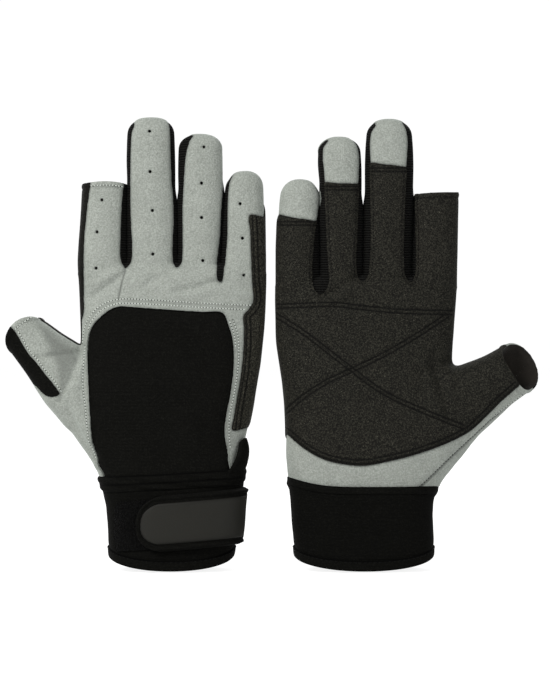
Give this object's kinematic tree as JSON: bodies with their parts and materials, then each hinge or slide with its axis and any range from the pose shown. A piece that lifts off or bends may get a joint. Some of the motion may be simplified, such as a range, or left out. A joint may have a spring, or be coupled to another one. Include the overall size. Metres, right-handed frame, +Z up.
{
  "type": "pair of sailing gloves",
  "caption": "Sailing gloves with cut thumb and forefinger, grip palm overlay, stretch back panel and neoprene cuff with a closing strap; fingers, thumb, strap and tab move.",
  "frame": {"origin": "on the standing plane, midway across the pair's width and depth: the centre of the bounding box's bottom", "axes": "+X runs across the pair, from the glove shown from its back (glove_a) to the glove shown from its palm (glove_b); +Y runs from front to back, so -Y faces the viewer; +Z runs up from the cuff hems to the finger tips"},
  "size_m": [0.2802, 0.0558, 0.2401],
  "materials": {
    "suede": "grey-green synthetic suede with a short nap",
    "knit": "black ribbed stretch knit",
    "grip": "charcoal abrasion-resistant grip suede with a fine pebble",
    "neoprene": "black neoprene faced with fine jersey",
    "rubber": "satin dark grey moulded rubber",
    "hook": "black hook and loop tape",
    "foam": "thin palm padding, hidden inside the glove"
  },
  "bodies": {
    "glove_a_hand": {"glove_a_cuff_hem_band": "neoprene", "glove_a_cuff_shell": "neoprene", "glove_a_cuff_top_band": "neoprene", "glove_a_loop_field": "hook", "glove_a_stretch_back_panel": "neoprene", "glove_a_knuckle_panel": "suede", "glove_a_palm_panel": "suede", "glove_a_palm_foam_pad": "foam", "glove_a_palm_reinforcement": "grip"},
    "glove_a_strap": {"glove_a_hook_field": "hook", "glove_a_strap_band": "neoprene", "glove_a_strap_grip_patch": "rubber"},
    "glove_a_pull_tab": {"glove_a_pull_tab": "neoprene"},
    "glove_a_index": {"glove_a_index_finger_back": "suede", "glove_a_index_finger_fourchette": "knit", "glove_a_index_finger_palm": "grip"},
    "glove_a_middle": {"glove_a_middle_finger_back_and_tip": "suede", "glove_a_middle_finger_inner_wall": "knit", "glove_a_middle_finger_outer_wall": "knit", "glove_a_middle_finger_palm": "grip"},
    "glove_a_ring": {"glove_a_ring_finger_back_and_tip": "suede", "glove_a_ring_finger_inner_wall": "knit", "glove_a_ring_finger_outer_wall": "knit", "glove_a_ring_finger_palm": "grip"},
    "glove_a_little": {"glove_a_little_finger_back_and_tip": "suede", "glove_a_little_finger_inner_wall": "knit", "glove_a_little_finger_palm": "grip"},
    "glove_a_thumb": {"glove_a_thumb_back": "suede", "glove_a_thumb_palm": "grip", "glove_a_thumb_stretch_insert": "knit"},
    "glove_b_hand": {"glove_b_cuff_hem_band": "neoprene", "glove_b_cuff_shell": "neoprene", "glove_b_cuff_top_band": "neoprene", "glove_b_loop_field": "hook", "glove_b_stretch_back_panel": "neoprene", "glove_b_knuckle_panel": "suede", "glove_b_palm_panel": "suede", "glove_b_palm_foam_pad": "foam", "glove_b_palm_reinforcement": "grip"},
    "glove_b_strap": {"glove_b_hook_field": "hook", "glove_b_strap_band": "neoprene", "glove_b_strap_grip_patch": "rubber"},
    "glove_b_pull_tab": {"glove_b_pull_tab": "neoprene"},
    "glove_b_index": {"glove_b_index_finger_back": "suede", "glove_b_index_finger_fourchette": "knit", "glove_b_index_finger_palm": "grip"},
    "glove_b_middle": {"glove_b_middle_finger_back_and_tip": "suede", "glove_b_middle_finger_inner_wall": "knit", "glove_b_middle_finger_outer_wall": "knit", "glove_b_middle_finger_palm": "grip"},
    "glove_b_ring": {"glove_b_ring_finger_back_and_tip": "suede", "glove_b_ring_finger_inner_wall": "knit", "glove_b_ring_finger_outer_wall": "knit", "glove_b_ring_finger_palm": "grip"},
    "glove_b_little": {"glove_b_little_finger_back_and_tip": "suede", "glove_b_little_finger_inner_wall": "knit", "glove_b_little_finger_palm": "grip"},
    "glove_b_thumb": {"glove_b_thumb_back": "suede", "glove_b_thumb_palm": "grip", "glove_b_thumb_stretch_insert": "knit"}
  },
  "joints": [
    {"name": "pair_spacing", "type": "slide", "parent": "glove_a_hand", "child": "glove_b_hand", "axis": [1, 0, 0], "range_m": [0, 0.06]},
    {"name": "glove_a_index_flex", "type": "hinge", "parent": "glove_a_hand", "child": "glove_a_index", "pos_m": [-0.08961, 0.0117, 0.16059], "axis": [-1, 0, 0], "range_deg": [0, 75]},
    {"name": "glove_a_middle_flex", "type": "hinge", "parent": "glove_a_hand", "child": "glove_a_middle", "pos_m": [-0.06311, 0.0119, 0.16059], "axis": [-1, 0, 0], "range_deg": [0, 75]},
    {"name": "glove_a_ring_flex", "type": "hinge", "parent": "glove_a_hand", "child": "glove_a_ring", "pos_m": [-0.03831, 0.0115, 0.16059], "axis": [-1, 0, 0], "range_deg": [0, 75]},
    {"name": "glove_a_little_flex", "type": "hinge", "parent": "glove_a_hand", "child": "glove_a_little", "pos_m": [-0.01515, 0.0107, 0.16059], "axis": [-1, 0, 0], "range_deg": [0, 75]},
    {"name": "glove_a_thumb_flex", "type": "hinge", "parent": "glove_a_hand", "child": "glove_a_thumb", "pos_m": [-0.11213, 0.0121, 0.10521], "axis": [-0.7249, 0, -0.6889], "range_deg": [0, 45]},
    {"name": "glove_a_strap_open", "type": "hinge", "parent": "glove_a_hand", "child": "glove_a_strap", "pos_m": [-0.01388, -0.0035, 0.02756], "axis": [0, 0, 1], "range_deg": [0, 90]},
    {"name": "glove_a_pull_tab_flop", "type": "hinge", "parent": "glove_a_hand", "child": "glove_a_pull_tab", "pos_m": [-0.01599, -0.01459, 0.04969], "axis": [0.745, 0.667, 0], "range_deg": [0, 80]},
    {"name": "glove_b_index_flex", "type": "hinge", "parent": "glove_b_hand", "child": "glove_b_index", "pos_m": [0.08673, -0.0117, 0.1537], "axis": [1, 0, 0], "range_deg": [0, 75]},
    {"name": "glove_b_middle_flex", "type": "hinge", "parent": "glove_b_hand", "child": "glove_b_middle", "pos_m": [0.06192, -0.0119, 0.1537], "axis": [1, 0, 0], "range_deg": [0, 75]},
    {"name": "glove_b_ring_flex", "type": "hinge", "parent": "glove_b_hand", "child": "glove_b_ring", "pos_m": [0.03754, -0.0115, 0.1537], "axis": [1, 0, 0], "range_deg": [0, 75]},
    {"name": "glove_b_little_flex", "type": "hinge", "parent": "glove_b_hand", "child": "glove_b_little", "pos_m": [0.01433, -0.0107, 0.1537], "axis": [1, 0, 0], "range_deg": [0, 75]},
    {"name": "glove_b_thumb_flex", "type": "hinge", "parent": "glove_b_hand", "child": "glove_b_thumb", "pos_m": [0.10702, -0.0121, 0.09169], "axis": [0.53, 0, -0.848], "range_deg": [0, 45]},
    {"name": "glove_b_strap_open", "type": "hinge", "parent": "glove_b_hand", "child": "glove_b_strap", "pos_m": [0.00772, 0.0035, 0.02491], "axis": [0, 0, 1], "range_deg": [0, 90]},
    {"name": "glove_b_pull_tab_flop", "type": "hinge", "parent": "glove_b_hand", "child": "glove_b_pull_tab", "pos_m": [0.01102, 0.01459, 0.04492], "axis": [-0.745, -0.667, 0], "range_deg": [0, 80]}
  ]
}
